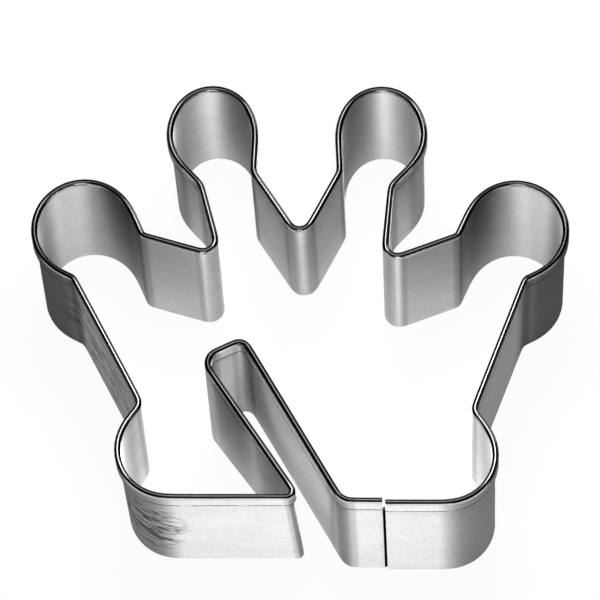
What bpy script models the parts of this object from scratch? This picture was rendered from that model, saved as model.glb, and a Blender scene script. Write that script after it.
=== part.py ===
"""Crown cookie cutter with a slanted slot, so that its biscuits hang on the rim of a cup.

One strip of stainless steel has its top edge folded outwards into a hem, is bent round the pins
of a jig, and is closed by a lap that three spot welds hold. The outline is drawn as seen from
above: x runs to the right, and y runs from the base of the crown to its tips. Lengths are in
metres, and angles in degrees above or below level.
"""

import math
from collections import namedtuple

import bmesh
import bpy
from mathutils import Matrix, Vector

# Strip: sheet, overall height, and the hem that makes the grip edge.
SHEET = 0.0003
HEIGHT = 0.0225
HEM_DEPTH = 0.0025
HEM_GAP = 0.00008

# Feet at the two ends of the base, and the waists above them.
FOOT_X = 0.0149
FOOT_RADIUS = 0.00515
WAIST_ANGLE = 51.0
WAIST_RUN = 0.0016
WAIST_RADIUS = 0.0014

# Outer tips: their round ends, and the two bends of each neck, placed from the tip's middle.
OUTER_TIP_X = 0.02325
OUTER_TIP_Y = 0.0305
OUTER_TIP_RADIUS = 0.0053
LOWER_NECK_ANGLE = 73.5
LOWER_NECK_RUN = 0.00085
LOWER_NECK_RADIUS = 0.0013
UPPER_NECK_ANGLE = 1.0
UPPER_NECK_RUN = 0.0028
UPPER_NECK_RADIUS = 0.00085

# Valleys between the tips. The side ones lie a little nearer to the base than the middle one.
MIDDLE_VALLEY_Y = 0.0319
MIDDLE_VALLEY_RADIUS = 0.00155
SIDE_VALLEY_X = 0.0105
SIDE_VALLEY_DROP = 0.0028
SIDE_VALLEY_RADIUS = 0.00155

# Inner tips, which rise this far above the middle valley: a round end between two flanks of
# larger radius, and the two bends of each neck, placed from the flanks' middles.
INNER_TIP_X = 0.00915
INNER_TIP_RISE = 0.0106
INNER_TIP_RADIUS = 0.00415
FLANK_EXTRA_RADIUS = 0.0008
FLANK_RUN = 0.00075
FLANK_ANGLE = 65.8
INNER_NECK_RADIUS = 0.0017
OUTWARD_NECK_ANGLE = 65.5
OUTWARD_NECK_RUN = 0.00275
INWARD_NECK_ANGLE = 31.5
INWARD_NECK_RUN = 0.0036

# Slot for the cup's rim: the two corners of its mouth on the base, and its two inner corners.
# The mouth's width is between its corners' middles, and the end's run between its corners.
MOUTH_LEFT_X = -0.0015
MOUTH_LEFT_RADIUS = 0.0005
MOUTH_WIDTH = 0.007
MOUTH_RIGHT_RADIUS = 0.00165
SLOT_END_LEFT_X = -0.00855
SLOT_END_LEFT_Y = 0.01525
SLOT_END_LEFT_RADIUS = 0.00165
SLOT_END_RUN = 0.00225
SLOT_END_ANGLE = 33.3
SLOT_END_RIGHT_RADIUS = 0.00135

# Lap seam in the right foot's wall. The outer end stands a little proud of the wall beside it,
# and the inner end stops this far short of the foot's bend.
SEAM_X = 0.00875
SEAM_GAP = 0.0003
SEAM_PROUD = 0.0002
LAP_STOP = 0.0005
LAP_CLEARANCE = 0.00004

# Spot welds through the lap. They stop short of the outer face, which stays plain.
WELD_RADIUS = 0.001
WELD_EDGE_DISTANCE = 0.00405
WELD_DIMPLE = 0.00006
WELD_SKIN = 0.00012
WELD_CLEARANCE = 0.00003

# What springing back did to the bent strip: the crown racks sideways by this share of its depth,
# one half sits further back than the other, and each region's cutting edge lies off its rim.
RACK = -0.035
RACK_FROM_Y = 0.0235
LEFT_FOOT_SET = 0.00035
SIDE_VALLEY_SET = 0.00025
SIDE_SPRING = (0.00017, 0.00017)
TIPS_SPRING = (0.0002, 0.0008)
LEFT_FOOT_SPRING = (0.0005, 0.0002)
LEFT_MOUTH_SPRING = (0.001, 0.00025)
SLOT_SPRING = (0.00023, -0.00027)
RIGHT_FOOT_SPRING = (0.00025, -0.0004)

# Steel of the strip, and of the welds' heat-tinted nuggets.
STRIP_COLOUR = (0.62, 0.62, 0.61)
STRIP_ROUGHNESS = 0.24
WELD_COLOUR = (0.5, 0.49, 0.47)
WELD_ROUGHNESS = 0.4

ARC_STEP = math.radians(15)
STRAIGHT = math.radians(0.0001)
SHARP_ANGLE = math.radians(50)
FOLD_PARTS = 6
WELD_SIDES = 24

Bend = namedtuple("Bend", "x y radius spring")
Station = namedtuple("Station", "edge rim edge_heading rim_heading")


def clear_scene():
    for obj in list(bpy.data.objects):
        bpy.data.objects.remove(obj)


def polar(x, y, degrees, distance, across=1):
    """The point at this distance and angle above level, mirrored where across is -1."""
    angle = math.radians(degrees)
    return x + across * distance * math.cos(angle), y + distance * math.sin(angle)


def spacing(radius, other_radius, run):
    """Distance between the middles of two bends with a straight run between them."""
    return math.hypot(radius - other_radius, run)


def racked(x, y):
    """The place across, once the crown has racked sideways."""
    return x + RACK * (y - RACK_FROM_Y)


def crown_half(mirrored):
    """Bends from one foot up to the middle valley, in the order of the right half.

    A bend's radius is positive where the strip turns to the left, and negative to the right.
    """
    outward = -1 if mirrored else 1
    inward = -outward
    foot_y = FOOT_RADIUS + (LEFT_FOOT_SET if mirrored else -SEAM_PROUD)
    foot_x = racked(outward * FOOT_X, foot_y)
    foot_spring = LEFT_FOOT_SPRING if mirrored else RIGHT_FOOT_SPRING
    waist_reach = spacing(FOOT_RADIUS, -WAIST_RADIUS, WAIST_RUN)
    waist_x, waist_y = polar(foot_x, foot_y, WAIST_ANGLE, waist_reach, outward)

    outer_x = racked(outward * OUTER_TIP_X, OUTER_TIP_Y)
    lower_reach = spacing(OUTER_TIP_RADIUS, -LOWER_NECK_RADIUS, LOWER_NECK_RUN)
    lower_x, lower_y = polar(outer_x, OUTER_TIP_Y, -LOWER_NECK_ANGLE, lower_reach, outward)
    upper_reach = spacing(OUTER_TIP_RADIUS, -UPPER_NECK_RADIUS, UPPER_NECK_RUN)
    upper_x, upper_y = polar(outer_x, OUTER_TIP_Y, -UPPER_NECK_ANGLE, upper_reach, inward)

    valley_y = MIDDLE_VALLEY_Y - SIDE_VALLEY_DROP
    valley_x = racked(outward * SIDE_VALLEY_X, valley_y)
    valley_y += inward * SIDE_VALLEY_SET

    inner_y = MIDDLE_VALLEY_Y + INNER_TIP_RISE
    inner_x = racked(outward * INNER_TIP_X, inner_y)
    flank_radius = INNER_TIP_RADIUS + FLANK_EXTRA_RADIUS
    flank_reach = spacing(flank_radius, INNER_TIP_RADIUS, FLANK_RUN)
    near_x, flank_y = polar(inner_x, inner_y, -FLANK_ANGLE, flank_reach, inward)
    far_x, flank_y = polar(inner_x, inner_y, -FLANK_ANGLE, flank_reach, outward)
    outward_reach = spacing(flank_radius, -INNER_NECK_RADIUS, OUTWARD_NECK_RUN)
    outward_x, outward_y = polar(near_x, flank_y, -OUTWARD_NECK_ANGLE, outward_reach, outward)
    inward_reach = spacing(flank_radius, -INNER_NECK_RADIUS, INWARD_NECK_RUN)
    inward_x, inward_y = polar(far_x, flank_y, -INWARD_NECK_ANGLE, inward_reach, inward)

    bends = [
        Bend(foot_x, foot_y, FOOT_RADIUS, foot_spring),
        Bend(waist_x, waist_y, -WAIST_RADIUS, SIDE_SPRING),
        Bend(lower_x, lower_y, -LOWER_NECK_RADIUS, SIDE_SPRING),
        Bend(outer_x, OUTER_TIP_Y, OUTER_TIP_RADIUS, SIDE_SPRING),
        Bend(upper_x, upper_y, -UPPER_NECK_RADIUS, SIDE_SPRING),
        Bend(valley_x, valley_y, -SIDE_VALLEY_RADIUS, SIDE_SPRING),
        Bend(outward_x, outward_y, -INNER_NECK_RADIUS, TIPS_SPRING),
        Bend(near_x, flank_y, flank_radius, TIPS_SPRING),
        Bend(inner_x, inner_y, INNER_TIP_RADIUS, TIPS_SPRING),
        Bend(far_x, flank_y, flank_radius, TIPS_SPRING),
        Bend(inward_x, inward_y, -INNER_NECK_RADIUS, TIPS_SPRING),
    ]
    return bends[::-1] if mirrored else bends


def slot_bends():
    """The mouth's left corner, the two inner corners, and the mouth's right corner."""
    mouth_left_y = LEFT_FOOT_SET + MOUTH_LEFT_RADIUS
    mouth_right_x = MOUTH_LEFT_X + MOUTH_WIDTH
    end_reach = spacing(SLOT_END_LEFT_RADIUS, SLOT_END_RIGHT_RADIUS, SLOT_END_RUN)
    end_right_x, end_right_y = polar(SLOT_END_LEFT_X, SLOT_END_LEFT_Y, SLOT_END_ANGLE, end_reach)
    return [
        Bend(MOUTH_LEFT_X, mouth_left_y, MOUTH_LEFT_RADIUS, LEFT_MOUTH_SPRING),
        Bend(SLOT_END_LEFT_X, SLOT_END_LEFT_Y, -SLOT_END_LEFT_RADIUS, SLOT_SPRING),
        Bend(end_right_x, end_right_y, -SLOT_END_RIGHT_RADIUS, SLOT_SPRING),
        Bend(mouth_right_x, MOUTH_RIGHT_RADIUS, MOUTH_RIGHT_RADIUS, RIGHT_FOOT_SPRING),
    ]


def strip_bends():
    """The whole strip, anticlockwise from its outer end at the seam to the start of its lap."""
    outer_end = Bend(SEAM_X + SEAM_GAP, -SEAM_PROUD, 0.0, RIGHT_FOOT_SPRING)
    middle_x = racked(0.0, MIDDLE_VALLEY_Y)
    middle = Bend(middle_x, MIDDLE_VALLEY_Y, -MIDDLE_VALLEY_RADIUS, TIPS_SPRING)
    lap_start = Bend(SEAM_X, 0.0, 0.0, RIGHT_FOOT_SPRING)
    crown = crown_half(mirrored=False) + [middle] + crown_half(mirrored=True)
    return [outer_end] + crown + slot_bends() + [lap_start]


def headings_of(bends):
    """Directions in which the straight runs between these bends leave them."""
    headings = []
    for bend, following in zip(bends, bends[1:]):
        across = following.x - bend.x
        along = following.y - bend.y
        tilt = math.asin((bend.radius - following.radius) / math.hypot(across, along))
        headings.append(math.atan2(along, across) + tilt)
    return headings


def turned(bend, arriving, leaving):
    """Angle that the strip turns through at this bend, positive to the left."""
    angle = (leaving - arriving + math.pi) % math.tau - math.pi
    sense = math.copysign(1, bend.radius)
    if angle * sense < -STRAIGHT:
        angle += math.tau * sense
    return angle


def on_bend(bend, heading):
    return Vector((bend.x + bend.radius * math.sin(heading), bend.y - bend.radius * math.cos(heading)))


def strip_stations():
    """Places along the strip, each with its point and heading at the cutting edge and the rim."""
    rim = strip_bends()
    edge = [bend._replace(x=bend.x + bend.spring[0], y=bend.y + bend.spring[1]) for bend in rim]
    rim_headings = headings_of(rim)
    edge_headings = headings_of(edge)
    stations = []
    for i, (rim_bend, edge_bend) in enumerate(zip(rim, edge)):
        before = max(i - 1, 0)
        after = min(i, len(rim_headings) - 1)
        rim_turn = turned(rim_bend, rim_headings[before], rim_headings[after])
        edge_turn = turned(edge_bend, edge_headings[before], edge_headings[after])
        parts = math.ceil(abs(rim_turn) / ARC_STEP) if rim_bend.radius else 0
        for part in range(parts + 1):
            share = part / parts if parts else 0.0
            rim_heading = rim_headings[before] + share * rim_turn
            edge_heading = edge_headings[before] + share * edge_turn
            rim_point = on_bend(rim_bend, rim_heading)
            edge_point = on_bend(edge_bend, edge_heading)
            stations.append(Station(edge_point, rim_point, edge_heading, rim_heading))
    return stations


def lap_length():
    """How far the inner end runs on behind the outer one, up to the right foot's bend."""
    foot = crown_half(mirrored=False)[0]
    return foot.x - LAP_STOP - SEAM_X - SEAM_GAP


def lap_stations(lap_start):
    """The inner end of the strip, joggled inwards so that it lies behind the outer end."""
    joggle = SHEET + LAP_CLEARANCE - SEAM_PROUD
    stations = []
    for along in (SEAM_GAP, SEAM_GAP + lap_length()):
        move = Vector((along, joggle))
        stations.append(lap_start._replace(edge=lap_start.edge + move, rim=lap_start.rim + move))
    return stations


def at_height(station, outward, z):
    """Point on a station's section, this far outside the middle of the sheet."""
    share = z / HEIGHT
    middle = station.edge.lerp(station.rim, share)
    heading = station.edge_heading + share * (station.rim_heading - station.edge_heading)
    out = Vector((math.sin(heading), -math.cos(heading)))
    return Vector((*(middle + outward * out), z))


def sheet_profile():
    """The middle of the sheet, from the cutting edge up the wall and over into the hem."""
    fold_radius = (SHEET + HEM_GAP) / 2
    fold_z = HEIGHT - SHEET / 2 - fold_radius
    hem_edge_z = HEIGHT - HEM_DEPTH
    profile = [(0.0, 0.0), (0.0, hem_edge_z)]
    for part in range(FOLD_PARTS + 1):
        angle = math.pi * part / FOLD_PARTS
        outward = fold_radius * (1 - math.cos(angle))
        profile.append((outward, fold_z + fold_radius * math.sin(angle)))
    profile.append((2 * fold_radius, hem_edge_z))
    return profile


def footprint_middle(stations):
    """Middle of the rectangle that the hemmed rim and the cutting edge fill, seen from above."""
    hem_face = 1.5 * SHEET + HEM_GAP
    points = [at_height(station, hem_face, HEIGHT) for station in stations]
    points += [at_height(station, SHEET / 2, 0.0) for station in stations]
    xs = [point.x for point in points]
    ys = [point.y for point in points]
    return (min(xs) + max(xs)) / 2, (min(ys) + max(ys)) / 2


def lofted_sheet(stations, laps):
    """The middle surface of the strip: its section carried from each station to the next.

    The hem is notched away at the lap, so there the section is only the wall below it.
    """
    profile = sheet_profile()
    wall_points = 2
    sections = [(station, profile) for station in stations]
    sections += [(lap, profile[:wall_points]) for lap in laps]
    sheet = bmesh.new()
    previous = []
    for station, points in sections:
        row = [sheet.verts.new(at_height(station, *point)) for point in points]
        lower, upper = list(zip(previous, row)), list(zip(previous[1:], row[1:]))
        for (start, end), (start_above, end_above) in zip(lower, upper):
            sheet.faces.new((start, end, end_above, start_above))
        previous = row
    mesh = bpy.data.meshes.new("cutter_band")
    sheet.to_mesh(mesh)
    sheet.free()
    mesh.shade_smooth()
    mesh.set_sharp_from_angle(angle=SHARP_ANGLE)
    return mesh


def steel(name, colour, roughness):
    material = bpy.data.materials.new(name)
    material.use_nodes = True
    shader = material.node_tree.nodes["Principled BSDF"]
    shader.inputs["Base Color"].default_value = (*colour, 1.0)
    shader.inputs["Metallic"].default_value = 1.0
    shader.inputs["Roughness"].default_value = roughness
    return material


def add_object(name, mesh, collection, parent):
    obj = bpy.data.objects.new(name, mesh)
    collection.objects.link(obj)
    obj.parent = parent
    return obj


def band(stations, laps, collection, parent):
    """The bent strip, given its sheet thickness."""
    obj = add_object("cutter_band", lofted_sheet(stations, laps), collection, parent)
    obj.data.materials.append(steel("stainless_strip", STRIP_COLOUR, STRIP_ROUGHNESS))
    solidify = obj.modifiers.new("sheet", "SOLIDIFY")
    solidify.thickness = SHEET
    solidify.offset = 0.0
    solidify.use_even_offset = True
    return obj


def disc(name, radius, length, collection, parent):
    """A short cylinder along y, from its own origin inwards."""
    work = bmesh.new()
    bmesh.ops.create_cone(
        work,
        cap_ends=True,
        segments=WELD_SIDES,
        radius1=radius,
        radius2=radius,
        depth=length,
    )
    lay_down = Matrix.Rotation(math.radians(-90), 4, "X")
    bmesh.ops.transform(work, matrix=lay_down, verts=work.verts)
    bmesh.ops.translate(work, vec=(0, length / 2, 0), verts=work.verts)
    mesh = bpy.data.meshes.new(name)
    work.to_mesh(mesh)
    work.free()
    mesh.shade_smooth()
    mesh.set_sharp_from_angle(angle=SHARP_ANGLE)
    return add_object(name, mesh, collection, parent)


def spot_welds(strip, outer_end, collection, cutters, parent):
    """Three nuggets, in pockets of the outer end's wall that run on through the lap."""
    tint = steel("weld_steel", WELD_COLOUR, WELD_ROUGHNESS)
    lap_height = HEIGHT - HEM_DEPTH
    heights = (WELD_EDGE_DISTANCE, lap_height / 2, lap_height - WELD_EDGE_DISTANCE)
    nugget_length = 2 * SHEET + LAP_CLEARANCE - WELD_SKIN - WELD_DIMPLE
    pocket_length = 2 * SHEET + LAP_CLEARANCE
    for z, place in zip(heights, ("lower", "middle", "upper")):
        face = at_height(outer_end, SHEET / 2, z)
        across = face.x + lap_length() / 2
        nugget = disc(f"spot_weld_{place}", WELD_RADIUS, nugget_length, collection, parent)
        nugget.location = (across, face.y + WELD_SKIN, z)
        nugget.data.materials.append(tint)
        pocket_radius = WELD_RADIUS + WELD_CLEARANCE
        pocket = disc(f"pocket_{place}", pocket_radius, pocket_length, cutters, parent)
        pocket.location = nugget.location - Vector((0, WELD_CLEARANCE, 0))
        pocket.hide_render = True
        pocket.display_type = "WIRE"
        cut = strip.modifiers.new(f"weld_{place}", "BOOLEAN")
        cut.operation = "DIFFERENCE"
        cut.solver = "EXACT"
        cut.object = pocket


def build():
    clear_scene()
    scene_root = bpy.context.scene.collection
    collection = bpy.data.collections.new("crown_cutter")
    cutters = bpy.data.collections.new("cutters")
    scene_root.children.link(collection)
    scene_root.children.link(cutters)

    stations = strip_stations()
    laps = lap_stations(stations[-1])
    middle_x, middle_y = footprint_middle(stations)
    datum = bpy.data.objects.new("crown_cutter_datum", None)
    datum.location = (-middle_x, -middle_y, 0.0)
    collection.objects.link(datum)

    strip = band(stations, laps, collection, datum)
    spot_welds(strip, stations[0], collection, cutters, datum)
    bpy.context.view_layer.update()


build()
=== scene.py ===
"""Looks of a crown cookie cutter: hemmed strip of bright rolled stainless steel, three spot welds."""

import math
from collections import namedtuple

import bmesh
import bpy
from mathutils import Matrix, Vector, noise


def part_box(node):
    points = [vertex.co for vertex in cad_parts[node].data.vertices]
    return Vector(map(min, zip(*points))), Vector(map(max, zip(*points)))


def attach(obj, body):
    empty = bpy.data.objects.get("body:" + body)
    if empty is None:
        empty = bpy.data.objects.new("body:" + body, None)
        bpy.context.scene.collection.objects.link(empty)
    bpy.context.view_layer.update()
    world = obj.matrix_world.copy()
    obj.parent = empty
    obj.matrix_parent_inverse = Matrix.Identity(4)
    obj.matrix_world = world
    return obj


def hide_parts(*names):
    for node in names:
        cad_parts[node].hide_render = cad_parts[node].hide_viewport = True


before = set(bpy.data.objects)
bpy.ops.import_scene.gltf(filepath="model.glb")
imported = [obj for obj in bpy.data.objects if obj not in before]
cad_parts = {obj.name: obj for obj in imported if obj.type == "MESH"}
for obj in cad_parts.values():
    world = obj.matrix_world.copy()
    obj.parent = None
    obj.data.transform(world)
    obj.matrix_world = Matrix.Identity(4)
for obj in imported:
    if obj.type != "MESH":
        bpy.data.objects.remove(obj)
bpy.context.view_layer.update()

# Route of the strip. The real one is bent by hand round the pins of a jig, starting and ending at
# the lap in the right foot, and every bend springs back a little, so its two halves differ and the
# cutting edge doesn't lie straight under the rim. It is drawn as the solid is, seen from above.
FOOT_X = 0.0149
FOOT_RADIUS = 0.00515
WAIST_ANGLE = 51.0
WAIST_RUN = 0.0016
WAIST_RADIUS = 0.0014
OUTER_TIP_X = 0.02325
OUTER_TIP_Y = 0.0305
OUTER_TIP_RADIUS = 0.0053
LOWER_NECK_ANGLE = 73.5
LOWER_NECK_RUN = 0.00085
LOWER_NECK_RADIUS = 0.0013
UPPER_NECK_ANGLE = 1.0
UPPER_NECK_RUN = 0.0028
UPPER_NECK_RADIUS = 0.00085
MIDDLE_VALLEY_Y = 0.0319
MIDDLE_VALLEY_RADIUS = 0.00155
SIDE_VALLEY_X = 0.0105
SIDE_VALLEY_DROP = 0.0028
SIDE_VALLEY_RADIUS = 0.00155
INNER_TIP_X = 0.00915
INNER_TIP_RISE = 0.0106
INNER_TIP_RADIUS = 0.00415
FLANK_EXTRA_RADIUS = 0.0008
FLANK_RUN = 0.00075
FLANK_ANGLE = 65.8
INNER_NECK_RADIUS = 0.0017
OUTWARD_NECK_ANGLE = 65.5
OUTWARD_NECK_RUN = 0.00275
INWARD_NECK_ANGLE = 31.5
INWARD_NECK_RUN = 0.0036
MOUTH_LEFT_X = -0.0015
MOUTH_LEFT_RADIUS = 0.0005
MOUTH_WIDTH = 0.007
MOUTH_RIGHT_RADIUS = 0.00165
SLOT_END_LEFT_X = -0.00855
SLOT_END_LEFT_Y = 0.01525
SLOT_END_LEFT_RADIUS = 0.00165
SLOT_END_RUN = 0.00225
SLOT_END_ANGLE = 33.3
SLOT_END_RIGHT_RADIUS = 0.00135
SEAM_X = 0.00875
SEAM_GAP = 0.0003
SEAM_PROUD = 0.0002
RACK = -0.035
RACK_FROM_Y = 0.0235
LEFT_FOOT_SET = 0.00035
SIDE_VALLEY_SET = 0.00025
SIDE_SPRING = (0.00017, 0.00017)
TIPS_SPRING = (0.0002, 0.0008)
LEFT_FOOT_SPRING = (0.0005, 0.0002)
LEFT_MOUTH_SPRING = (0.001, 0.00025)
SLOT_SPRING = (0.00023, -0.00027)
RIGHT_FOOT_SPRING = (0.00025, -0.0004)
STRAIGHT = math.radians(0.0001)

Bend = namedtuple("Bend", "x y radius spring")


def polar(x, y, degrees, distance, across=1):
    """The point at this distance and angle above level, mirrored where across is -1."""
    angle = math.radians(degrees)
    return x + across * distance * math.cos(angle), y + distance * math.sin(angle)


def spacing(radius, other_radius, run):
    """Distance between the middles of two bends with a straight run between them."""
    return math.hypot(radius - other_radius, run)


def racked(x, y):
    """The place across, once the crown has racked sideways."""
    return x + RACK * (y - RACK_FROM_Y)


def crown_half(mirrored):
    """Bends between a foot and the middle valley, in the strip's order, positive where it turns left."""
    outward = -1 if mirrored else 1
    inward = -outward
    foot_y = FOOT_RADIUS + (LEFT_FOOT_SET if mirrored else -SEAM_PROUD)
    foot_x = racked(outward * FOOT_X, foot_y)
    foot_spring = LEFT_FOOT_SPRING if mirrored else RIGHT_FOOT_SPRING
    waist_reach = spacing(FOOT_RADIUS, -WAIST_RADIUS, WAIST_RUN)
    waist_x, waist_y = polar(foot_x, foot_y, WAIST_ANGLE, waist_reach, outward)

    outer_x = racked(outward * OUTER_TIP_X, OUTER_TIP_Y)
    lower_reach = spacing(OUTER_TIP_RADIUS, -LOWER_NECK_RADIUS, LOWER_NECK_RUN)
    lower_x, lower_y = polar(outer_x, OUTER_TIP_Y, -LOWER_NECK_ANGLE, lower_reach, outward)
    upper_reach = spacing(OUTER_TIP_RADIUS, -UPPER_NECK_RADIUS, UPPER_NECK_RUN)
    upper_x, upper_y = polar(outer_x, OUTER_TIP_Y, -UPPER_NECK_ANGLE, upper_reach, inward)

    valley_y = MIDDLE_VALLEY_Y - SIDE_VALLEY_DROP
    valley_x = racked(outward * SIDE_VALLEY_X, valley_y)
    valley_y += inward * SIDE_VALLEY_SET

    inner_y = MIDDLE_VALLEY_Y + INNER_TIP_RISE
    inner_x = racked(outward * INNER_TIP_X, inner_y)
    flank_radius = INNER_TIP_RADIUS + FLANK_EXTRA_RADIUS
    flank_reach = spacing(flank_radius, INNER_TIP_RADIUS, FLANK_RUN)
    near_x, flank_y = polar(inner_x, inner_y, -FLANK_ANGLE, flank_reach, inward)
    far_x, flank_y = polar(inner_x, inner_y, -FLANK_ANGLE, flank_reach, outward)
    outward_reach = spacing(flank_radius, -INNER_NECK_RADIUS, OUTWARD_NECK_RUN)
    outward_x, outward_y = polar(near_x, flank_y, -OUTWARD_NECK_ANGLE, outward_reach, outward)
    inward_reach = spacing(flank_radius, -INNER_NECK_RADIUS, INWARD_NECK_RUN)
    inward_x, inward_y = polar(far_x, flank_y, -INWARD_NECK_ANGLE, inward_reach, inward)

    bends = [
        Bend(foot_x, foot_y, FOOT_RADIUS, foot_spring),
        Bend(waist_x, waist_y, -WAIST_RADIUS, SIDE_SPRING),
        Bend(lower_x, lower_y, -LOWER_NECK_RADIUS, SIDE_SPRING),
        Bend(outer_x, OUTER_TIP_Y, OUTER_TIP_RADIUS, SIDE_SPRING),
        Bend(upper_x, upper_y, -UPPER_NECK_RADIUS, SIDE_SPRING),
        Bend(valley_x, valley_y, -SIDE_VALLEY_RADIUS, SIDE_SPRING),
        Bend(outward_x, outward_y, -INNER_NECK_RADIUS, TIPS_SPRING),
        Bend(near_x, flank_y, flank_radius, TIPS_SPRING),
        Bend(inner_x, inner_y, INNER_TIP_RADIUS, TIPS_SPRING),
        Bend(far_x, flank_y, flank_radius, TIPS_SPRING),
        Bend(inward_x, inward_y, -INNER_NECK_RADIUS, TIPS_SPRING),
    ]
    return bends[::-1] if mirrored else bends


def strip_bends():
    """The whole strip, anticlockwise from its outer end at the seam to the start of its lap."""
    outer_end = Bend(SEAM_X + SEAM_GAP, -SEAM_PROUD, 0.0, RIGHT_FOOT_SPRING)
    middle_x = racked(0.0, MIDDLE_VALLEY_Y)
    middle = Bend(middle_x, MIDDLE_VALLEY_Y, -MIDDLE_VALLEY_RADIUS, TIPS_SPRING)
    mouth_left_y = LEFT_FOOT_SET + MOUTH_LEFT_RADIUS
    end_reach = spacing(SLOT_END_LEFT_RADIUS, SLOT_END_RIGHT_RADIUS, SLOT_END_RUN)
    end_right_x, end_right_y = polar(SLOT_END_LEFT_X, SLOT_END_LEFT_Y, SLOT_END_ANGLE, end_reach)
    slot = [
        Bend(MOUTH_LEFT_X, mouth_left_y, MOUTH_LEFT_RADIUS, LEFT_MOUTH_SPRING),
        Bend(SLOT_END_LEFT_X, SLOT_END_LEFT_Y, -SLOT_END_LEFT_RADIUS, SLOT_SPRING),
        Bend(end_right_x, end_right_y, -SLOT_END_RIGHT_RADIUS, SLOT_SPRING),
        Bend(MOUTH_LEFT_X + MOUTH_WIDTH, MOUTH_RIGHT_RADIUS, MOUTH_RIGHT_RADIUS, RIGHT_FOOT_SPRING),
    ]
    lap_start = Bend(SEAM_X, 0.0, 0.0, RIGHT_FOOT_SPRING)
    crown = crown_half(mirrored=False) + [middle] + crown_half(mirrored=True)
    return [outer_end] + crown + slot + [lap_start]


def headings_of(bends):
    """Directions in which the straight runs between these bends leave them."""
    headings = []
    for bend, following in zip(bends, bends[1:]):
        across = following.x - bend.x
        along = following.y - bend.y
        tilt = math.asin((bend.radius - following.radius) / math.hypot(across, along))
        headings.append(math.atan2(along, across) + tilt)
    return headings


def turned(bend, arriving, leaving):
    """Angle that the strip turns through at this bend, positive to the left."""
    angle = (leaving - arriving + math.pi) % math.tau - math.pi
    sense = math.copysign(1, bend.radius)
    if angle * sense < -STRAIGHT:
        angle += math.tau * sense
    return angle


# Stations along the strip, close enough that a smooth highlight shows no corners. Sheet doesn't go from
# straight to round at a point, so the route is eased where a run meets a bend.
ARC_STEP = math.radians(7.5)
RUN_STEP = 0.0005
EASINGS = 4

Station = namedtuple("Station", "rim edge rim_side edge_side run bending")


def route(bends, counts):
    """Points along these bends, with as many in each arc and each run as counts says."""
    headings = headings_of(bends)
    points = []
    for i, bend in enumerate(bends):
        before = headings[max(i - 1, 0)]
        turn = turned(bend, before, headings[min(i, len(headings) - 1)])
        arc_parts, run_parts = counts[i]
        for part in range(arc_parts + 1):
            heading = before + turn * part / max(arc_parts, 1)
            beside = Vector((math.sin(heading), -math.cos(heading)))
            point = Vector((bend.x, bend.y)) + bend.radius * beside
            if part == 0 and points:
                start = points[-1]
                points += [start.lerp(point, k / run_parts) for k in range(1, run_parts)]
            points.append(point)
    return points


def counts_of(bends):
    """How many parts each bend's arc has, and the straight run that leads to it."""
    headings = headings_of(bends)
    counts = []
    for i, bend in enumerate(bends):
        turn = turned(bend, headings[max(i - 1, 0)], headings[min(i, len(headings) - 1)])
        arc_parts = math.ceil(abs(turn) / ARC_STEP) if bend.radius else 0
        before = bends[max(i - 1, 0)]
        gap = math.hypot(bend.x - before.x, bend.y - before.y)
        run = math.sqrt(max(gap * gap - (bend.radius - before.radius) ** 2, 0.0))
        counts.append((arc_parts, max(math.ceil(run / RUN_STEP), 1)))
    return counts


def eased(points):
    """The route after its corners are smoothed a few times, with both ends kept."""
    for _ in range(EASINGS):
        middles = [
            (before + 2 * point + after) / 4
            for before, point, after in zip(points, points[1:], points[2:])
        ]
        points = [points[0]] + middles + [points[-1]]
    return points


def sides_of(points):
    """The direction out of the crown at each point of a route."""
    padded = [points[0]] + points + [points[-1]]
    along = [(after - before).normalized() for before, after in zip(padded, padded[2:])]
    return [Vector((direction.y, -direction.x)) for direction in along]


def bending_of(points):
    """How sharply a route turns at each of its points, in radians for each metre of it."""
    turns = [0.0]
    for before, point, after in zip(points, points[1:], points[2:]):
        angle = (after - point).angle(point - before)
        turns.append(2 * angle / (after - before).length)
    return turns + [0.0]


rim_bends = strip_bends()
edge_bends = [bend._replace(x=bend.x + bend.spring[0], y=bend.y + bend.spring[1]) for bend in rim_bends]
station_counts = counts_of(rim_bends)
rim_route = eased(route(rim_bends, station_counts))
edge_route = eased(route(edge_bends, station_counts))
runs = [0.0]
for before, after in zip(rim_route, rim_route[1:]):
    runs.append(runs[-1] + (after - before).length)
columns = (rim_route, edge_route, sides_of(rim_route), sides_of(edge_route), runs, bending_of(rim_route))
stations = [Station(*values) for values in zip(*columns)]

# Hemmed strip: 0.3 mm stainless, its top edge folded outwards and pressed flat so that it doesn't
# cut the hand, bent upright round the jig. The hem's depth and its gap vary a little along the strip.
SHEET = 0.0003
HEIGHT = 0.0225
HEM_DEPTH = 0.0025
HEM_GAP = 0.00008
EDGE_ROUND = 0.00006
WALL_LEVELS = (0.0012, 0.003, 0.005, 0.007, 0.009, 0.011, 0.013, 0.015, 0.0168, 0.0182)
FLAP_LEVELS = (0.0002, 0.0008, 0.0013, 0.0018)
FOLD_PARTS = 10
GAP_PARTS = 4
GAP_SPREAD = 0.00005
DEPTH_SPREAD = 0.00012
HAND_WAVE = 0.000014
HAND_WAVE_LOST_AT_RIM = 0.6
WAVE_LENGTH = 0.008
GAP_NOISE_HEIGHT = 9.0
DEPTH_WAVE_SHARE = 0.7


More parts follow.
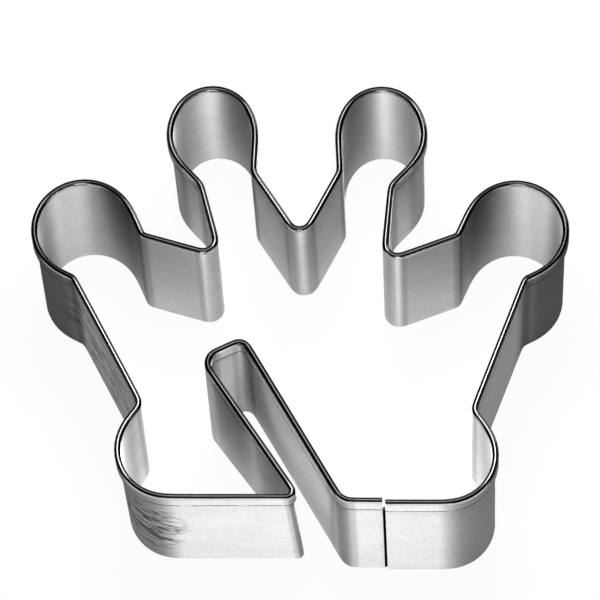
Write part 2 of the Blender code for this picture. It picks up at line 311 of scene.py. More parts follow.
def section(gap, depth):
    """The strip's section as (outwards, height), from the cutting edge's inner corner round to it."""
    half = SHEET / 2
    hem_z = HEIGHT - depth
    wall_side = HEIGHT - (2 * SHEET + gap) / 2
    fold_x = (SHEET + gap) / 2
    flap_in = half + gap
    flap_out = flap_in + SHEET
    points = [(-half, EDGE_ROUND), (-half + EDGE_ROUND, 0.0), (half - EDGE_ROUND, 0.0), (half, EDGE_ROUND)]
    points += [(half, z) for z in WALL_LEVELS]
    points.append((half, hem_z))
    points += [(half, hem_z + rise) for rise in FLAP_LEVELS]
    for part in range(GAP_PARTS + 1):
        angle = math.pi * part / GAP_PARTS
        points.append((fold_x - gap / 2 * math.cos(angle), wall_side + gap / 2 * math.sin(angle)))
    points += [(flap_in, hem_z + rise) for rise in FLAP_LEVELS[::-1]]
    points += [(flap_in, hem_z + EDGE_ROUND), (flap_in + EDGE_ROUND, hem_z)]
    points += [(flap_out - EDGE_ROUND, hem_z), (flap_out, hem_z + EDGE_ROUND)]
    points += [(flap_out, hem_z + rise) for rise in FLAP_LEVELS]
    for part in range(FOLD_PARTS + 1):
        angle = math.pi * part / FOLD_PARTS
        radius = SHEET + gap / 2
        points.append((fold_x + radius * math.cos(angle), wall_side + radius * math.sin(angle)))
    points += [(-half, hem_z + rise) for rise in FLAP_LEVELS[::-1]]
    points.append((-half, hem_z))
    points += [(-half, z) for z in WALL_LEVELS[::-1]]
    return points


def at_height(station, outward, z):
    """Point on a station's section, this far outside the middle of the sheet."""
    share = z / HEIGHT
    middle = station.edge.lerp(station.rim, share)
    side = station.edge_side.lerp(station.rim_side, share).normalized()
    return Vector((*(middle + outward * side), z))


def hand_wave(run, z):
    """How far the sheet stands off its route, from pulling it round the pins by hand."""
    place = Vector((run / WAVE_LENGTH, z / HEIGHT, 0.0))
    return HAND_WAVE * noise.noise(place) * (1.0 - HAND_WAVE_LOST_AT_RIM * z / HEIGHT)


def section_row(station):
    """The section's points at this station, where the hem's gap and depth are a little off their sizes."""
    place = Vector((station.run / WAVE_LENGTH, GAP_NOISE_HEIGHT, 0.0))
    gap = HEM_GAP + GAP_SPREAD * noise.noise(place)
    depth = HEM_DEPTH + DEPTH_SPREAD * noise.noise(place * DEPTH_WAVE_SHARE)
    return [at_height(station, out + hand_wave(station.run, z), z) for out, z in section(gap, depth)]


def cover(mesh, rows, runs, rounds, bendings, facings):
    """Lays a grid over rows of points, and keeps each one's place on the strip, its bend and facing."""
    uv = mesh.loops.layers.uv["strip"]
    bending = mesh.verts.layers.float["bending"]
    facing = mesh.verts.layers.float["facing"]
    last_row = len(rows) - 1
    last_mark = len(rounds) - 1
    made = bmesh.ops.create_grid(mesh, x_segments=last_row, y_segments=last_mark, size=1.0)["verts"]
    marks = {}
    for vert in made:
        marks[vert] = (round((vert.co.x + 1) / 2 * last_row), round((vert.co.y + 1) / 2 * last_mark))
    for face in {face for vert in made for face in vert.link_faces}:
        for loop in face.loops:
            i, k = marks[loop.vert]
            loop[uv].uv = (runs[i], rounds[k])
    for vert, (i, k) in marks.items():
        vert.co = rows[i][k]
        vert[bending] = bendings[i]
        vert[facing] = facings[i]


rows = [section_row(station) for station in stations]
rounds = [0.0]
plain_section = section(HEM_GAP, HEM_DEPTH)
for before, after in zip(plain_section, plain_section[1:] + plain_section[:1]):
    rounds.append(rounds[-1] + math.hypot(after[0] - before[0], after[1] - before[1]))
strip = bmesh.new()
strip.loops.layers.uv.new("strip")
strip.verts.layers.float.new("bending")
strip.verts.layers.float.new("facing")
cover(
    strip,
    [row + row[:1] for row in rows],
    [station.run for station in stations],
    rounds,
    [station.bending for station in stations],
    [abs(station.rim_side.x) for station in stations],
)

# The lap: in the right foot the inner end of the strip runs on behind the outer one. It is the same sheet
# with its hem notched away, and it steps in so far that the outer end stands only a little proud.
LAP_STOP = 0.0005
LAP_CLEARANCE = 0.00004
JOGGLE_PARTS = 4
LAP_PARTS = 12
STRIP_MERGE = 0.0000001
SHARP_ANGLE = math.radians(40)
right_foot = rim_bends[1]
lap_length = right_foot.x - LAP_STOP - SEAM_X - SEAM_GAP
lap_joggle = SHEET + LAP_CLEARANCE - SEAM_PROUD

# Marks are counted round the section, from the points at its cutting edge up the outside of the wall. The
# flap's lower edge has as many points as the cutting edge.
EDGE_POINTS = 4
outer_top = EDGE_POINTS + len(WALL_LEVELS)
inner_top = len(plain_section) - 1 - len(WALL_LEVELS)
flap_corner = outer_top + 2 * len(FLAP_LEVELS) + GAP_PARTS + EDGE_POINTS
crest = max(range(len(plain_section)), key=lambda mark: plain_section[mark][1])

wall_row = rows[-1][inner_top:] + rows[-1][: outer_top + 1]
wall_rounds = [place - rounds[-1] for place in rounds[inner_top:-1]] + rounds[: outer_top + 1]
wall_rounds.append(wall_rounds[-1] + SHEET)
lap_moves = [(0.0, 0.0)]
for part in range(1, JOGGLE_PARTS + 1):
    share = part / JOGGLE_PARTS
    lap_moves.append((SEAM_GAP * share, lap_joggle * (3 - 2 * share) * share**2))
lap_moves += [(SEAM_GAP + lap_length * part / LAP_PARTS, lap_joggle) for part in range(1, LAP_PARTS + 1)]
last = stations[-1]
lap_rows = [[place + Vector((along, inward, 0.0)) for place in wall_row] for along, inward in lap_moves]
cover(
    strip,
    [row + row[:1] for row in lap_rows],
    [last.run + along for along, inward in lap_moves],
    wall_rounds,
    [0.0] * len(lap_rows),
    [0.0] * len(lap_rows),
)
bmesh.ops.remove_doubles(strip, verts=strip.verts, dist=STRIP_MERGE)
open_edges = [edge for edge in strip.edges if edge.is_boundary]
ends = bmesh.ops.holes_fill(strip, edges=open_edges, sides=0)["faces"]
bmesh.ops.triangulate(strip, faces=ends, ngon_method="EAR_CLIP")
bmesh.ops.recalc_face_normals(strip, faces=strip.faces)

# The strip is drawn about its own jig, and is moved here to the middle of the solid that it replaces.
cad_low, cad_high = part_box("cutter_band")
xs = [vert.co.x for vert in strip.verts]
ys = [vert.co.y for vert in strip.verts]
own_middle = Vector(((min(xs) + max(xs)) / 2, (min(ys) + max(ys)) / 2, 0.0))
cad_middle = Vector(((cad_low[0] + cad_high[0]) / 2, (cad_low[1] + cad_high[1]) / 2, 0.0))
datum = cad_middle - own_middle
bmesh.ops.translate(strip, vec=datum, verts=strip.verts)

strip_mesh = bpy.data.meshes.new("hemmed_strip")
strip.to_mesh(strip_mesh)
strip.free()
strip_mesh.shade_smooth()
strip_mesh.set_sharp_from_angle(angle=SHARP_ANGLE)
hemmed_strip = bpy.data.objects.new("hemmed_strip", strip_mesh)
bpy.context.scene.collection.objects.link(hemmed_strip)
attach(hemmed_strip, "root")
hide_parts("cutter_band")

# Rolled finish of the strip and of its welds: the mill's rolls leave a fine grain and longer streaks
# along the sheet, and faint clouds, a mottle and a few dark specks lie over them.
NOISE_MIDDLE = 0.5
GRAIN_WAVES = (160.0, 7000.0, 7000.0)
GRAIN_SHARE = 0.4
GRAIN_HEIGHT = 0.000006
STREAK_WAVES = (45.0, 1500.0, 1500.0)
STREAK_SHARE = 0.75
CLOUD_WAVES = (170.0, 260.0, 260.0)
CLOUD_CURL = 0.4
CLOUD_SHARE = 0.6
CLOUD_ROUGHNESS = 0.5
MOTTLE_WAVES = (3200.0, 1300.0, 1300.0)
MOTTLE_CURL = 0.3
MOTTLE_SHARE = 0.9
SPECK_WAVES = (2600.0, 5200.0, 5200.0)
SPECK_FROM = 0.74
SPECK_FULL = 0.8


def add_node(tree, kind, inputs=(), **settings):
    """Adds a shader node with these settings, and gives each named or numbered input a value or a link."""
    made = tree.nodes.new(kind)
    for name, value in settings.items():
        setattr(made, name, value)
    for key, value in dict(inputs).items():
        if isinstance(value, bpy.types.NodeSocket):
            tree.links.new(value, made.inputs[key])
        else:
            made.inputs[key].default_value = value
    return made


def combined(tree, operation, first, second=0.0):
    """What a Math node makes of two values, or of the first one alone."""
    return add_node(tree, "ShaderNodeMath", {0: first, 1: second}, operation=operation).outputs[0]


def overlap(tree, first, *others):
    """These masks and shares multiplied together."""
    for other in others:
        first = combined(tree, "MULTIPLY", first, other)
    return first


def distance_to(tree, value, middle):
    """How far a value lies from another one, to either side of it."""
    return combined(tree, "ABSOLUTE", combined(tree, "SUBTRACT", value, middle))


def faded(tree, value, start, finish):
    """A mask that goes smoothly from 0 at start to 1 at finish."""
    inputs = {"Value": value, "From Min": start, "From Max": finish}
    return add_node(tree, "ShaderNodeMapRange", inputs, interpolation_type="SMOOTHSTEP").outputs["Result"]


def noise_of(tree, place, waves, detail=2.0, distortion=0.0):
    """Noise on a place in metres, with this many waves to the metre each way."""
    stretched = add_node(tree, "ShaderNodeVectorMath", {0: place, 1: waves}, operation="MULTIPLY")
    inputs = {"Vector": stretched.outputs[0], "Scale": 1.0, "Detail": detail, "Distortion": distortion}
    return add_node(tree, "ShaderNodeTexNoise", inputs).outputs["Fac"]


def mixed_noise(tree, first, first_share, second, second_share):
    """Two noises added in these shares, with the middle of their sum brought to 0."""
    both = combined(tree, "ADD", overlap(tree, first, first_share), overlap(tree, second, second_share))
    return combined(tree, "SUBTRACT", both, (first_share + second_share) * NOISE_MIDDLE)


rolled = bpy.data.node_groups.new("rolled_sheet", "ShaderNodeTree")
for name, in_out, kind in (
    ("Place", "INPUT", "NodeSocketVector"),
    ("Colour", "INPUT", "NodeSocketColor"),
    ("Grain", "INPUT", "NodeSocketFloat"),
    ("Clouding", "INPUT", "NodeSocketFloat"),
    ("Roughness", "INPUT", "NodeSocketFloat"),
    ("Colour", "OUTPUT", "NodeSocketColor"),
    ("Roughness", "OUTPUT", "NodeSocketFloat"),
    ("Height", "OUTPUT", "NodeSocketFloat"),
):
    rolled.interface.new_socket(name, in_out=in_out, socket_type=kind)
given = rolled.nodes.new("NodeGroupInput").outputs
grain = noise_of(rolled, given["Place"], GRAIN_WAVES, detail=3.0)
streaks = noise_of(rolled, given["Place"], STREAK_WAVES, detail=4.0)
clouds = noise_of(rolled, given["Place"], CLOUD_WAVES, detail=3.0, distortion=CLOUD_CURL)
mottle = noise_of(rolled, given["Place"], MOTTLE_WAVES, detail=2.0, distortion=MOTTLE_CURL)
specks = faded(rolled, noise_of(rolled, given["Place"], SPECK_WAVES, detail=1.0), SPECK_FROM, SPECK_FULL)
lines = overlap(rolled, mixed_noise(rolled, grain, GRAIN_SHARE, streaks, STREAK_SHARE), given["Grain"])
cloud = overlap(rolled, mixed_noise(rolled, clouds, CLOUD_SHARE, mottle, MOTTLE_SHARE), given["Clouding"])
shade = combined(rolled, "ADD", combined(rolled, "ADD", lines, cloud), 1.0)
shade = combined(rolled, "SUBTRACT", shade, overlap(rolled, specks, given["Grain"]))
toned = add_node(rolled, "ShaderNodeVectorMath", {0: given["Colour"], "Scale": shade}, operation="SCALE")
rough = combined(rolled, "SUBTRACT", given["Roughness"], overlap(rolled, cloud, CLOUD_ROUGHNESS))
finished = {"Colour": toned.outputs[0], "Roughness": rough, "Height": overlap(rolled, lines, GRAIN_HEIGHT)}
add_node(rolled, "NodeGroupOutput", finished)

# Steel of the strip: stainless, cold rolled along its length, so that light spreads up and down the wall.
# The paragraphs below lay marks of the bending, folding and wear over it, and painted light and shade.
STEEL_COLOUR = (0.7, 0.7, 0.695, 1.0)
STEEL_EDGE_TINT = (0.3, 0.3, 0.3, 1.0)
STEEL_ROUGHNESS = 0.6
STEEL_GRAIN = 0.14
STEEL_CLOUDING = 0.3
LIGHT_SPREAD = 1.0
LIGHT_SPREAD_TURN = 0.25


def blend(tree, share, first, second, blend_type="MIX"):
    """The first colour with this share of the second one laid over it."""
    inputs = {0: share, 6: first, 7: second}
    return add_node(tree, "ShaderNodeMix", inputs, data_type="RGBA", blend_type=blend_type).outputs[2]


def shaded(tree, colour, mask, shade):
    """A colour made lighter or darker by this factor where the mask is 1."""
    factor = combined(tree, "ADD", 1.0, overlap(tree, mask, shade - 1.0))
    scaled = add_node(tree, "ShaderNodeVectorMath", {0: colour, "Scale": factor}, operation="SCALE")
    return scaled.outputs[0]


steel = bpy.data.materials.new("rolled_stainless")
steel.use_nodes = True
tree = steel.node_tree
shader = tree.nodes["Principled BSDF"]
shader.inputs["Metallic"].default_value = 1.0
shader.inputs["Anisotropic"].default_value = LIGHT_SPREAD
shader.inputs["Anisotropic Rotation"].default_value = LIGHT_SPREAD_TURN
shader.inputs["Specular Tint"].default_value = STEEL_EDGE_TINT
tangent = add_node(tree, "ShaderNodeTangent", direction_type="UV_MAP", uv_map="strip")
tree.links.new(tangent.outputs["Tangent"], shader.inputs["Tangent"])
on_strip = add_node(tree, "ShaderNodeUVMap", uv_map="strip").outputs["UV"]
parted = add_node(tree, "ShaderNodeSeparateXYZ", {"Vector": on_strip})
along, around = parted.outputs["X"], parted.outputs["Y"]
in_frame = add_node(tree, "ShaderNodeTexCoord").outputs["Object"]
sheet_inputs = {
    "Place": on_strip,
    "Colour": STEEL_COLOUR,
    "Grain": STEEL_GRAIN,
    "Clouding": STEEL_CLOUDING,
    "Roughness": STEEL_ROUGHNESS,
}
sheet = add_node(tree, "ShaderNodeGroup", sheet_inputs, node_tree=rolled)

# Painted light: the straight runs between the bends are painted lighter than the bends themselves.
STRAIGHT_PAINTED_LIGHT = 1.33
STRAIGHT_BENDING = 25.0
BENT_BENDING = 150.0
bending = add_node(tree, "ShaderNodeAttribute", attribute_name="bending").outputs["Fac"]
unbent = faded(tree, bending, BENT_BENDING, STRAIGHT_BENDING)
colour = shaded(tree, sheet.outputs["Colour"], unbent, STRAIGHT_PAINTED_LIGHT)

# Drag marks, where the strip slipped over the tools: at the turn of the left foot and on the wall above
# it. They ripple the wall and leave dark lines; the bright lines on the ripples' crests are painted sheen.
# A line is full where the noise is within full_line of its level, and is gone past no_line.
DRAG_COLOUR = (0.06, 0.06, 0.06, 1.0)
DRAG_PAINTED_SHEEN = (0.95, 0.95, 0.95, 1.0)
DRAG_DEPTH = 0.00003
DRAG_SLANT = math.radians(16.0)
DRAG_DETAIL = 2.5
DRAG_CURL = 0.5
DRAG_FULL_WITHIN = 0.55
FOOT_DRAGS_TO_LEFT = 0.0026
FOOT_DRAGS_BACK = 0.0004
FOOT_DRAGS_HEIGHT = 0.0102
WALL_DRAGS_HEIGHT = 0.0105
WALL_TOP_FADE = 0.0012

*_, left_neck, left_waist, left_foot = crown_half(mirrored=True)
foot_front = Vector((
    left_foot.x - FOOT_DRAGS_TO_LEFT,
    left_foot.y - FOOT_RADIUS + FOOT_DRAGS_BACK,
    FOOT_DRAGS_HEIGHT,
)) + datum
wall_above = Vector((
    (left_waist.x + left_neck.x) / 2,
    (left_waist.y + left_neck.y) / 2,
    WALL_DRAGS_HEIGHT,
)) + datum
Drags = namedtuple("Drags", "middle reach waves level no_line full_line shine_from shine_full darkest")
DRAGS = (
    Drags(
        middle=foot_front,
        reach=(0.0054, 0.0046, 0.0092),
        waves=(215.0, 1150.0, 1.0),
        level=0.5,
        no_line=0.06,
        full_line=0.015,
        shine_from=0.58,
        shine_full=0.68,
        darkest=0.85,
    ),
    Drags(
        middle=wall_above,
        reach=(0.0085, 0.0118, 0.0135),
        waves=(225.0, 1250.0, 1.0),
        level=0.7,
        no_line=0.165,
        full_line=0.09,
        shine_from=0.42,
        shine_full=0.3,
        darkest=0.93,
    ),
)
on_wall = faded(tree, around, rounds[outer_top], rounds[outer_top] - WALL_TOP_FADE)
slant = {"Vector": on_strip, "Rotation": (0.0, 0.0, DRAG_SLANT)}
slanted = add_node(tree, "ShaderNodeMapping", slant).outputs["Vector"]
drag_lines = drag_painted_sheen = drag_ripples = 0.0
for drags in DRAGS:
    offset = add_node(tree, "ShaderNodeVectorMath", {0: in_frame, 1: drags.middle}, operation="SUBTRACT")
    shares = {0: offset.outputs[0], 1: drags.reach}
    scaled = add_node(tree, "ShaderNodeVectorMath", shares, operation="DIVIDE")
    distance = add_node(tree, "ShaderNodeVectorMath", {0: scaled.outputs[0]}, operation="LENGTH")
    area = overlap(tree, faded(tree, distance.outputs["Value"], 1.0, DRAG_FULL_WITHIN), on_wall)
    ripples = noise_of(tree, slanted, drags.waves, detail=DRAG_DETAIL, distortion=DRAG_CURL)
    line = faded(tree, distance_to(tree, ripples, drags.level), drags.no_line, drags.full_line)
    painted_sheen = faded(tree, ripples, drags.shine_from, drags.shine_full)
    drag_lines = combined(tree, "MAXIMUM", drag_lines, overlap(tree, line, area, drags.darkest))
    drag_painted_sheen = combined(tree, "MAXIMUM", drag_painted_sheen, overlap(tree, painted_sheen, area))
    drag_ripples = combined(tree, "ADD", drag_ripples, overlap(tree, ripples, area))
colour = blend(tree, drag_lines, colour, DRAG_COLOUR)
# The bright lines are painted sheen on the ripples' crests.
colour = blend(tree, drag_painted_sheen, colour, DRAG_PAINTED_SHEEN)
height = combined(tree, "ADD", sheet.outputs["Height"], overlap(tree, drag_ripples, DRAG_DEPTH))

# Painted shade on the outer tips: the colour is painted darker on their outside, and at their outermost
# part on the inside too.
TIP_PAINTED_SHADE = 0.42
TIP_SHADE_FROM = 0.0232
TIP_SHADE_TO = 0.0246
INNER_TIP_SHADE_FROM = 0.0262
INNER_TIP_SHADE_TO = 0.028
OUTSIDE_FADE = 0.0006
crest_place = rounds[crest]
parted_frame = add_node(tree, "ShaderNodeSeparateXYZ", {"Vector": in_frame}).outputs
from_centre = combined(tree, "ABSOLUTE", parted_frame["X"])
is_outside = faded(tree, around, crest_place, crest_place - OUTSIDE_FADE)
tip_shade_outside = overlap(tree, faded(tree, from_centre, TIP_SHADE_FROM, TIP_SHADE_TO), is_outside)
tip_shade_through = faded(tree, from_centre, INNER_TIP_SHADE_FROM, INNER_TIP_SHADE_TO)
# Where the outer tips get their painted shade.
stretched = combined(tree, "MAXIMUM", tip_shade_outside, tip_shade_through)
colour = shaded(tree, colour, stretched, TIP_PAINTED_SHADE)

# Painted shade of a crease below the rim on the slot's left wall, a dark line in the colour only. It rises
# towards the slot's corner, and runs out half way to the mouth.
CREASE_SHADE_COLOUR = (0.03, 0.03, 0.03, 1.0)
CREASE_WIDTH = 0.00026
CREASE_FROM_MOUTH = 0.0076
CREASE_FROM_CREST = 0.0004
CREASE_DROP = 0.0031
CREASE_DROP_AT_END = 0.0013
CREASE_FADE_IN = 0.002
CREASE_GONE = 0.0006
CREASE_FULL = 0.0014


def run_at(bend):
    """How far along the strip the station nearest to the middle of a bend stands."""
    return min(stations, key=lambda station: (station.rim - Vector((bend.x, bend.y))).length).run


mouth, slot_corner = rim_bends[-5:-3]
mouth_run = run_at(mouth)
corner_run = run_at(slot_corner)
crease_start = mouth_run + CREASE_FROM_MOUTH
drop_inputs = {
    "Value": along,
    "From Min": crease_start,
    "From Max": corner_run,
    "To Min": CREASE_DROP,
    "To Max": CREASE_DROP_AT_END,
}
drop = add_node(tree, "ShaderNodeMapRange", drop_inputs, clamp=False).outputs["Result"]
crease_place = combined(tree, "ADD", crest_place + CREASE_FROM_CREST, drop)
crease_shade = overlap(
    tree,
    faded(tree, distance_to(tree, around, crease_place), CREASE_WIDTH, CREASE_WIDTH / 3),
    faded(tree, along, crease_start, crease_start + CREASE_FADE_IN),
    faded(tree, along, corner_run - CREASE_GONE, corner_run - CREASE_FULL),
)
# The crease's painted shade.
colour = blend(tree, crease_shade, colour, CREASE_SHADE_COLOUR)

# Painted shadow along the hem's lower edge, in dashes up to the slot's left corner and unbroken past it.
HEM_SHADOW_COLOUR = (0.05, 0.05, 0.05, 1.0)
HEM_LINE_WIDTH = 0.00036
DASH_WAVES = (330.0, 0.0, 0.0)
DASH_FROM = 0.36
DASH_FULL = 0.5
SLOT_FADE = 0.001
hem_line = faded(tree, distance_to(tree, around, rounds[flap_corner]), HEM_LINE_WIDTH, HEM_LINE_WIDTH / 2)
dashes = faded(tree, noise_of(tree, on_strip, DASH_WAVES, detail=4.0), DASH_FROM, DASH_FULL)
unbroken = faded(tree, along, corner_run, corner_run + SLOT_FADE)
hem_shadow = overlap(tree, hem_line, combined(tree, "MAXIMUM", dashes, unbroken))
colour = blend(tree, hem_shadow, colour, HEM_SHADOW_COLOUR)

# Painted shadow in the joint, behind the gap that the outer end leaves.
JOINT_SHADOW_COLOUR = (0.01, 0.01, 0.01, 1.0)
JOINT_FADE = 0.00001
covered = last.run + SEAM_GAP + SHEET
joint_shadow = overlap(
    tree,
    faded(tree, along, last.run - JOINT_FADE, last.run),
    on_wall,
    faded(tree, along, covered + SHEET, covered),
    faded(tree, around, -JOINT_FADE, 0.0),
)
colour = blend(tree, joint_shadow, colour, JOINT_SHADOW_COLOUR)

# Crest of the hem: the tool that folded it over left it smooth and less rough. Its colour holds painted
# reflections: two dark lines with a lighter band between, lightest where the strip runs from front to back.
# Each shade has its distance past the crest, from the outside of the strip to its inside.
CREST_SPAN = 0.003
CREST_PAINTED_REFLECTIONS = (
    (-0.0006, 1.0),
    (-0.00036, 0.9),
    (-0.00026, 0.01),
    (-0.00012, 0.006),
    (0.0, 0.016),
    (0.00018, 0.012),
    (0.0003, 0.9),
    (0.0014, 1.0),
)
SIDE_CREST_PAINTED_REFLECTIONS = (
    (-0.00075, 1.0),
    (-0.00053, 0.2),
    (-0.00044, 0.06),
    (-0.00036, 0.09),
    (0.0001, 0.1),
    (0.00022, 0.012),
    (0.00044, 0.02),
    (0.00062, 0.95),
)
SIDE_CREST_FROM = 0.7
SIDE_CREST_TO = 0.88
SLOT_CREST_PAINTED_SHADE = 0.16
SLOT_CREST_FROM = 0.0006
SLOT_CREST_FULL = 0.0004
CREST_WANDER = 0.00004
WANDER_WAVES = (260.0, 900.0, 0.0)
BURNISH_REACH = 0.00062
BURNISH_FADE = 0.00025
BURNISH_ROUGHNESS = 0.13

wander = combined(tree, "SUBTRACT", noise_of(tree, on_strip, WANDER_WAVES), NOISE_MIDDLE)
past_crest = combined(tree, "SUBTRACT", around, crest_place)
past_crest = combined(tree, "ADD", past_crest, overlap(tree, wander, CREST_WANDER))
spread_inputs = {"Value": past_crest, "From Min": -CREST_SPAN, "From Max": CREST_SPAN}
spread = add_node(tree, "ShaderNodeMapRange", spread_inputs).outputs["Result"]
painted_crests = []
for shades in (CREST_PAINTED_REFLECTIONS, SIDE_CREST_PAINTED_REFLECTIONS):
    bands = add_node(tree, "ShaderNodeValToRGB", {"Fac": spread})
    ramp = bands.color_ramp
    while len(ramp.elements) < len(shades):
        ramp.elements.new(1.0)
    for element, (offset, shade) in zip(ramp.elements, shades):
        element.position = (offset + CREST_SPAN) / (2 * CREST_SPAN)
        element.color = (shade, shade, shade, 1.0)
    painted_crests.append(bands.outputs["Color"])
facing = add_node(tree, "ShaderNodeAttribute", attribute_name="facing").outputs["Fac"]
is_side = faded(tree, facing, SIDE_CREST_FROM, SIDE_CREST_TO)
colour = blend(tree, 1.0, colour, blend(tree, is_side, *painted_crests), "MULTIPLY")
from_crest = combined(tree, "ABSOLUTE", past_crest)
# In the slot the crest's painted reflection is painted darker still.
painted_slot_crest = overlap(
    tree,
    faded(tree, along, mouth_run, mouth_run + SLOT_FADE),
    faded(tree, from_crest, SLOT_CREST_FROM, SLOT_CREST_FULL),
    is_side,
)
colour = shaded(tree, colour, painted_slot_crest, SLOT_CREST_PAINTED_SHADE)
burnish = faded(tree, from_crest, BURNISH_REACH + BURNISH_FADE, BURNISH_REACH)
less_rough = overlap(tree, burnish, STEEL_ROUGHNESS - BURNISH_ROUGHNESS)
roughness = combined(tree, "SUBTRACT", sheet.outputs["Roughness"], less_rough)

# Bare metal where the sheet was cut.
CUT_COLOUR = (0.82, 0.82, 0.82, 1.0)
CUT_GONE_ABOVE = 0.00022
CUT_FULL_BELOW = 0.00008
cut = faded(tree, parted_frame["Z"], CUT_GONE_ABOVE, CUT_FULL_BELOW)
colour = blend(tree, cut, colour, CUT_COLOUR)

bump = add_node(tree, "ShaderNodeBump", {"Height": height, "Distance": 1.0, "Strength": 1.0})
tree.links.new(colour, shader.inputs["Base Color"])
tree.links.new(roughness, shader.inputs["Roughness"])
tree.links.new(bump.outputs["Normal"], shader.inputs["Normal"])
strip_mesh.materials.append(steel)

# Spot welds: three nuggets pressed between round electrodes through the two thicknesses of the lap,
# which leave shallow dished marks with a raised lip on its inner face and a dull heat tint.
WELD_RADIUS = 0.001
WELD_EDGE_DISTANCE = 0.00405
WELD_DEPTH = 0.0004
WELD_PROFILE = (
    (0.0, 0.000004),
    (0.55, 0.000006),
    (0.78, 0.000014),
    (0.9, 0.000024),
    (0.98, 0.000016),
    (1.0, 0.0),
)
WELD_STEPS = 48
WELD_MERGE = 0.000001
LEAN_REACH = 0.001
WELD_COLOUR = (0.42, 0.4, 0.37, 1.0)
WELD_GRAIN = 0.3
WELD_CLOUDING = 0.5
WELD_ROUGHNESS = 0.48

weld_steel = bpy.data.materials.new("weld_steel")
weld_steel.use_nodes = True
weld_tree = weld_steel.node_tree
weld_shader = weld_tree.nodes["Principled BSDF"]
weld_shader.inputs["Metallic"].default_value = 1.0
weld_inputs = {
    "Place": add_node(weld_tree, "ShaderNodeTexCoord").outputs["Object"],
    "Colour": WELD_COLOUR,
    "Grain": WELD_GRAIN,
    "Clouding": WELD_CLOUDING,
    "Roughness": WELD_ROUGHNESS,
}
weld_sheet = add_node(weld_tree, "ShaderNodeGroup", weld_inputs, node_tree=rolled)
weld_bump = add_node(weld_tree, "ShaderNodeBump", {"Height": weld_sheet.outputs["Height"], "Distance": 1.0})
weld_tree.links.new(weld_sheet.outputs["Colour"], weld_shader.inputs["Base Color"])
weld_tree.links.new(weld_sheet.outputs["Roughness"], weld_shader.inputs["Roughness"])
weld_tree.links.new(weld_bump.outputs["Normal"], weld_shader.inputs["Normal"])

lap_height = HEIGHT - HEM_DEPTH
lap_middle = Vector((SEAM_GAP + lap_length / 2, lap_joggle, 0.0))
for weld_z, place in (
    (WELD_EDGE_DISTANCE, "lower"),
    (lap_height / 2, "middle"),
    (lap_height - WELD_EDGE_DISTANCE, "upper"),
):
    lap_face = at_height(last, -SHEET / 2, weld_z) + lap_middle + datum
    above = at_height(last, -SHEET / 2, weld_z + LEAN_REACH)
    below = at_height(last, -SHEET / 2, weld_z - LEAN_REACH)
    inward = Vector((1.0, 0.0, 0.0)).cross(above - below).normalized() * -1.0
    nugget = bmesh.new()
    chain = [nugget.verts.new((share * WELD_RADIUS, 0.0, rise)) for share, rise in WELD_PROFILE]
    chain += [nugget.verts.new((WELD_RADIUS, 0.0, -WELD_DEPTH)), nugget.verts.new((0.0, 0.0, -WELD_DEPTH))]
    profile = [nugget.edges.new(pair) for pair in zip(chain, chain[1:])]
    bmesh.ops.spin(
        nugget,
        geom=chain + profile,
        cent=(0, 0, 0),
        axis=(0, 0, 1),
        angle=math.tau,
        steps=WELD_STEPS,
        use_merge=True,
    )
    bmesh.ops.remove_doubles(nugget, verts=nugget.verts, dist=WELD_MERGE)
    bmesh.ops.recalc_face_normals(nugget, faces=nugget.faces)
    stand = Vector((0, 0, 1)).rotation_difference(inward).to_matrix().to_4x4()
    bmesh.ops.transform(nugget, matrix=Matrix.Translation(lap_face) @ stand, verts=nugget.verts)
    mark_mesh = bpy.data.meshes.new(f"weld_mark_{place}")
    nugget.to_mesh(mark_mesh)
    nugget.free()
    mark_mesh.shade_smooth()
    mark_mesh.materials.append(weld_steel)
    mark = bpy.data.objects.new(f"weld_mark_{place}", mark_mesh)
    bpy.context.scene.collection.objects.link(mark)
    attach(mark, "root")
    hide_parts(f"spot_weld_{place}")

# Studio: a plain white table with soft lamps around the cutter. The camera sees the table as paper
# white with a faint shadow, and the steel shows more of that shadow.
FLOOR_SIDE = 6.0
FLOOR_COLOUR = (0.8, 0.8, 0.8, 1.0)
PAPER_WHITE = (1.0, 1.0, 1.0, 1.0)
WHITE_TO_CAMERA = 0.95
WHITE_TO_STEEL = 0.65
floor_form = bmesh.new()
bmesh.ops.create_grid(floor_form, x_segments=1, y_segments=1, size=FLOOR_SIDE / 2)
floor_mesh = bpy.data.meshes.new("floor")
floor_form.to_mesh(floor_mesh)
floor_form.free()
floor = bpy.data.objects.new("floor", floor_mesh)
bpy.context.scene.collection.objects.link(floor)
floor.location.z = cad_low[2]
table = bpy.data.materials.new("white_table")
table.use_nodes = True
table_tree = table.node_tree
table_tree.nodes.remove(table_tree.nodes["Principled BSDF"])
rays = add_node(table_tree, "ShaderNodeLightPath").outputs
mirrored_ray = combined(table_tree, "MAXIMUM", rays["Is Glossy Ray"], rays["Is Transmission Ray"])
to_camera = overlap(table_tree, rays["Is Camera Ray"], WHITE_TO_CAMERA)
to_steel = overlap(table_tree, mirrored_ray, WHITE_TO_STEEL)
white_share = combined(table_tree, "MAXIMUM", to_camera, to_steel)
paint = add_node(table_tree, "ShaderNodeBsdfDiffuse", {"Color": FLOOR_COLOUR})
white = add_node(table_tree, "ShaderNodeEmission", {"Color": PAPER_WHITE, "Strength": 1.0})
mix_inputs = {0: white_share, 1: paint.outputs[0], 2: white.outputs[0]}
mixed = add_node(table_tree, "ShaderNodeMixShader", mix_inputs)
table_tree.links.new(mixed.outputs[0], table_tree.nodes["Material Output"].inputs["Surface"])
floor_mesh.materials.append(table)

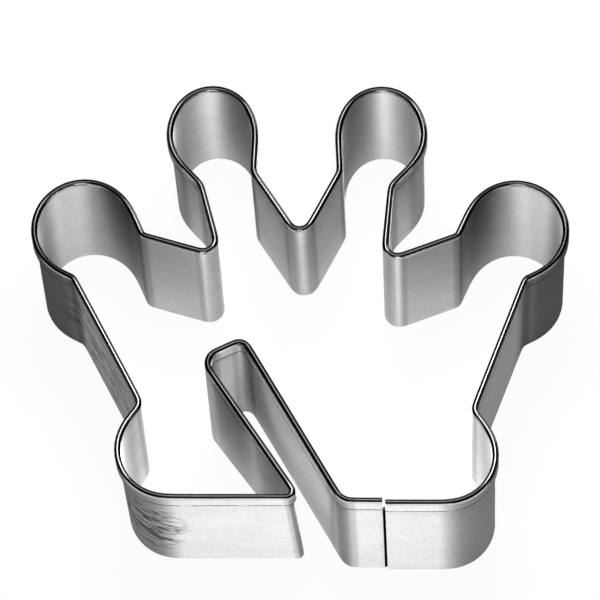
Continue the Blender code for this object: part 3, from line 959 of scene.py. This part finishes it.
# Each lamp stands so many degrees from the front towards the right, and so many above the table.
Lamp = namedtuple("Lamp", "name azimuth elevation distance side watts")
LAMPS = (
    Lamp("front_lamp", 0, 6, 0.8, 0.35, 0.65),
    Lamp("right_back_lamp", 135, 20, 0.8, 0.35, 1.6),
    Lamp("upper_back_lamp", 180, 70, 0.3, 0.08, 0.4),
    Lamp("near_back_lamp", 180, 80, 0.18, 0.06, 0.2),
    Lamp("middle_front_lamp", 0, 45, 0.3, 0.08, 0.065),
    Lamp("upper_front_lamp", 0, 70, 0.2, 0.08, 0.06),
    Lamp("top_lamp", 0, 90, 0.1, 0.05, 0.02),
)
for lamp in LAMPS:
    azimuth, elevation = math.radians(lamp.azimuth), math.radians(lamp.elevation)
    place = lamp.distance * Vector((
        math.sin(azimuth) * math.cos(elevation),
        -math.cos(azimuth) * math.cos(elevation),
        math.sin(elevation),
    ))
    light = bpy.data.lights.new(lamp.name, "AREA")
    light.shape = "SQUARE"
    light.size = lamp.side
    light.energy = lamp.watts
    lamp_object = bpy.data.objects.new(lamp.name, light)
    lamp_object.location = place
    lamp_object.rotation_euler = place.to_track_quat("Z", "Y").to_euler()
    bpy.context.scene.collection.objects.link(lamp_object)

ROOM_COLOUR = (0.0, 0.0, 0.0, 1.0)
world = bpy.data.worlds.new("dim_room")
world.use_nodes = True
world.node_tree.nodes["Background"].inputs["Color"].default_value = ROOM_COLOUR
bpy.context.scene.world = world
bpy.context.scene.view_settings.view_transform = "Standard"

# Camera: a long lens that looks steeply down, 70 degrees above level, as the photograph was taken.
CAMERA_ELEVATION = math.radians(70.0)
CAMERA_TURN = math.radians(-2.7504)
CAMERA_ROLL = math.radians(-2.4296)
CAMERA_DISTANCE = 0.7616
CAMERA_LENS = 412.7
CAMERA_CLIP = 0.01
LOOK_AT = Vector((-0.00032, 0.00711, 0.0))
ahead = Vector((
    math.sin(CAMERA_TURN) * math.cos(CAMERA_ELEVATION),
    math.cos(CAMERA_TURN) * math.cos(CAMERA_ELEVATION),
    -math.sin(CAMERA_ELEVATION),
))
across = Vector((math.cos(CAMERA_TURN), -math.sin(CAMERA_TURN), 0.0))
aim = Matrix((across, across.cross(ahead), -ahead)).transposed()
lens = bpy.data.cameras.new("camera")
lens.lens = CAMERA_LENS
lens.clip_start = CAMERA_CLIP
camera = bpy.data.objects.new("camera", lens)
turn = aim.to_4x4() @ Matrix.Rotation(CAMERA_ROLL, 4, "Z")
camera.matrix_world = Matrix.Translation(LOOK_AT - ahead * CAMERA_DISTANCE) @ turn
bpy.context.scene.collection.objects.link(camera)
bpy.context.scene.camera = camera
